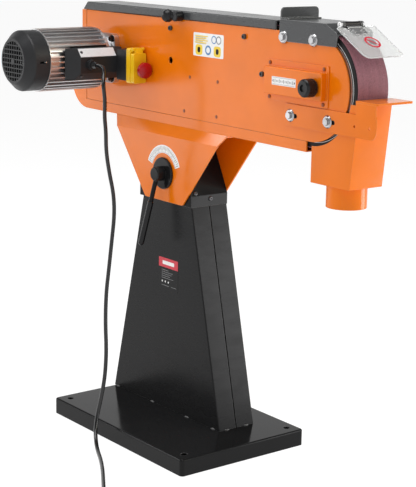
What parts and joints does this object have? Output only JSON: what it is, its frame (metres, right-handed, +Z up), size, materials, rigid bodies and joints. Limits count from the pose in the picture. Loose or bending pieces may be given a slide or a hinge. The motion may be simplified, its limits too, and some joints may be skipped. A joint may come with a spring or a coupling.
{
  "type": "belt grinder",
  "caption": "Pedestal belt grinder: wide abrasive belt over a drive drum and rubber contact wheel in a tilting arm with motor, lid, guard, eye shield, dust hopper and work rest.",
  "frame": {"origin": "on the floor, at the centre of the four anchor holes of the base", "axes": "+X towards the contact wheel, +Y towards the side door (the motor hangs off the -Y side), +Z up"},
  "size_m": [1.006, 0.6289, 0.928],
  "materials": {
    "orange_paint": "satin",
    "black_paint": "gloss",
    "grey_paint": "satin",
    "bolt_chrome": "polished",
    "black_screw": "satin",
    "plain_steel": "satin",
    "cast_aluminium": "satin",
    "drum_iron": "satin",
    "rubber_tyre": "matt",
    "abrasive": "matt",
    "graphite": "matt",
    "clear_sheet": "gloss",
    "black_plastic": "satin",
    "knob_plastic": "gloss",
    "yellow_plastic": "gloss",
    "red_plastic": "gloss",
    "green_plastic": "gloss",
    "strip_metal": "satin",
    "copper_winding": "satin",
    "cord_rubber": "satin",
    "plug_brass": "polished"
  },
  "bodies": {
    "stand": {"base_pan": "black_paint", "column_near_half": "black_paint", "column_far_half": "black_paint", "column_head": "black_paint", "tilt_bolt": "plain_steel", "clamp_disc": "black_paint", "tilt_nut": "plain_steel", "cord_lead": "cord_rubber", "cord_coil": "cord_rubber", "plug_body": "cord_rubber", "plug_pins": "plug_brass"},
    "clamp_lever": {"clamp_hub": "black_paint", "lever_grip": "knob_plastic"},
    "arm": {"yoke": "orange_paint", "near_side_plate": "orange_paint", "panel_screws": "black_screw", "arm_shell": "orange_paint", "far_rail": "orange_paint", "hinge_pins": "plain_steel", "platen_bar": "plain_steel", "platen_pad": "graphite", "front_guard": "grey_paint", "work_stop": "grey_paint", "hex_bolts": "bolt_chrome", "sanding_belt": "abrasive", "tracking_cover": "orange_paint", "motor_frame": "cast_aluminium", "stator": "copper_winding", "motor_end_shields": "cast_aluminium", "motor_bearings": "plain_steel", "fan_cover": "black_plastic", "terminal_box": "black_plastic", "rating_strip": "strip_metal", "cable_gland": "black_plastic", "strain_relief": "cord_rubber", "switch_base": "black_plastic", "switch_housing": "yellow_plastic"},
    "door": {"side_door": "orange_paint"},
    "latch": {"door_latch": "knob_plastic"},
    "lid": {"top_lid": "grey_paint", "lid_ball_knob": "knob_plastic"},
    "shield": {"eye_shield": "clear_sheet", "shield_hinge": "plain_steel"},
    "carriage": {"tension_carriage": "plain_steel", "wheel_axle": "plain_steel", "tension_spring": "plain_steel"},
    "contact_wheel": {"contact_tyre": "rubber_tyre", "contact_wheel_hub": "cast_aluminium", "wheel_bearings": "plain_steel"},
    "tracking": {"tracking_knob": "knob_plastic"},
    "drive": {"drive_drum": "drum_iron", "rotor": "plain_steel", "cooling_fan": "black_plastic"},
    "flap": {"switch_flap": "yellow_plastic"},
    "mushroom": {"stop_mushroom": "red_plastic"},
    "stop_button": {"stop_button": "red_plastic"},
    "start_button": {"start_button": "green_plastic"},
    "rest": {"dust_hopper": "orange_paint", "rest_bracket": "orange_paint", "work_table": "orange_paint"}
  },
  "joints": [
    {"name": "arm_tilt", "type": "hinge", "parent": "stand", "child": "arm", "pos_m": [-0.052, 0.0493, 0.558], "axis": [0, -1, 0], "range_deg": [0, 75]},
    {"name": "clamp_lever_turn", "type": "hinge", "parent": "stand", "child": "clamp_lever", "pos_m": [-0.052, -0.018, 0.558], "axis": [0, -1, 0], "range_deg": [0, 100]},
    {"name": "drive_spin", "type": "hinge", "parent": "arm", "child": "drive", "pos_m": [-0.29, 0.0493, 0.785], "axis": [0, 1, 0], "continuous": true},
    {"name": "belt_tension", "type": "slide", "parent": "arm", "child": "carriage", "axis": [1, 0, 0], "range_m": [-0.012, 0], "deforming": ["tension_spring"]},
    {"name": "contact_wheel_spin", "type": "hinge", "parent": "carriage", "child": "contact_wheel", "pos_m": [0.406, 0.0493, 0.785], "axis": [0, 1, 0], "continuous": true},
    {"name": "tracking_knob_turn", "type": "hinge", "parent": "arm", "child": "tracking", "pos_m": [0.42, -0.02, 0.788], "axis": [0, 1, 0], "range_deg": [-180, 180]},
    {"name": "lid_lift", "type": "hinge", "parent": "arm", "child": "lid", "pos_m": [0, 0.095, 0.8885], "axis": [-1, 0, 0], "range_deg": [0, 100]},
    {"name": "door_swing", "type": "hinge", "parent": "arm", "child": "door", "pos_m": [-0.374, 0.0948, 0.76], "axis": [0, 0, 1], "range_deg": [0, 110]},
    {"name": "door_latch_turn", "type": "hinge", "parent": "door", "child": "latch", "pos_m": [0.284, 0.098, 0.838], "axis": [0, 1, 0], "range_deg": [0, 90]},
    {"name": "shield_lift", "type": "hinge", "parent": "arm", "child": "shield", "pos_m": [0.459, 0.0445, 0.905], "axis": [0, -1, 0], "range_deg": [0, 100]},
    {"name": "work_rest_slide", "type": "slide", "parent": "arm", "child": "rest", "axis": [1, 0, 0], "range_m": [-0.001, 0.008]},
    {"name": "switch_flap_lift", "type": "hinge", "parent": "arm", "child": "flap", "pos_m": [-0.1386, -0.011, 0.813], "axis": [0, -1, 0], "range_deg": [0, 100]},
    {"name": "stop_mushroom_press", "type": "slide", "parent": "flap", "child": "mushroom", "axis": [-1, 0, 0], "range_m": [0, 0.003], "stiffness_N_per_m": 600},
    {"name": "stop_button_press", "type": "slide", "parent": "arm", "child": "stop_button", "axis": [-1, 0, 0], "range_m": [0, 0.003], "stiffness_N_per_m": 300},
    {"name": "start_button_press", "type": "slide", "parent": "arm", "child": "start_button", "axis": [-1, 0, 0], "range_m": [0, 0.003], "stiffness_N_per_m": 300}
  ],
  "couplings": [
    {"joint": "contact_wheel_spin", "follows": "drive_spin", "ratio": 0.7129}
  ]
}
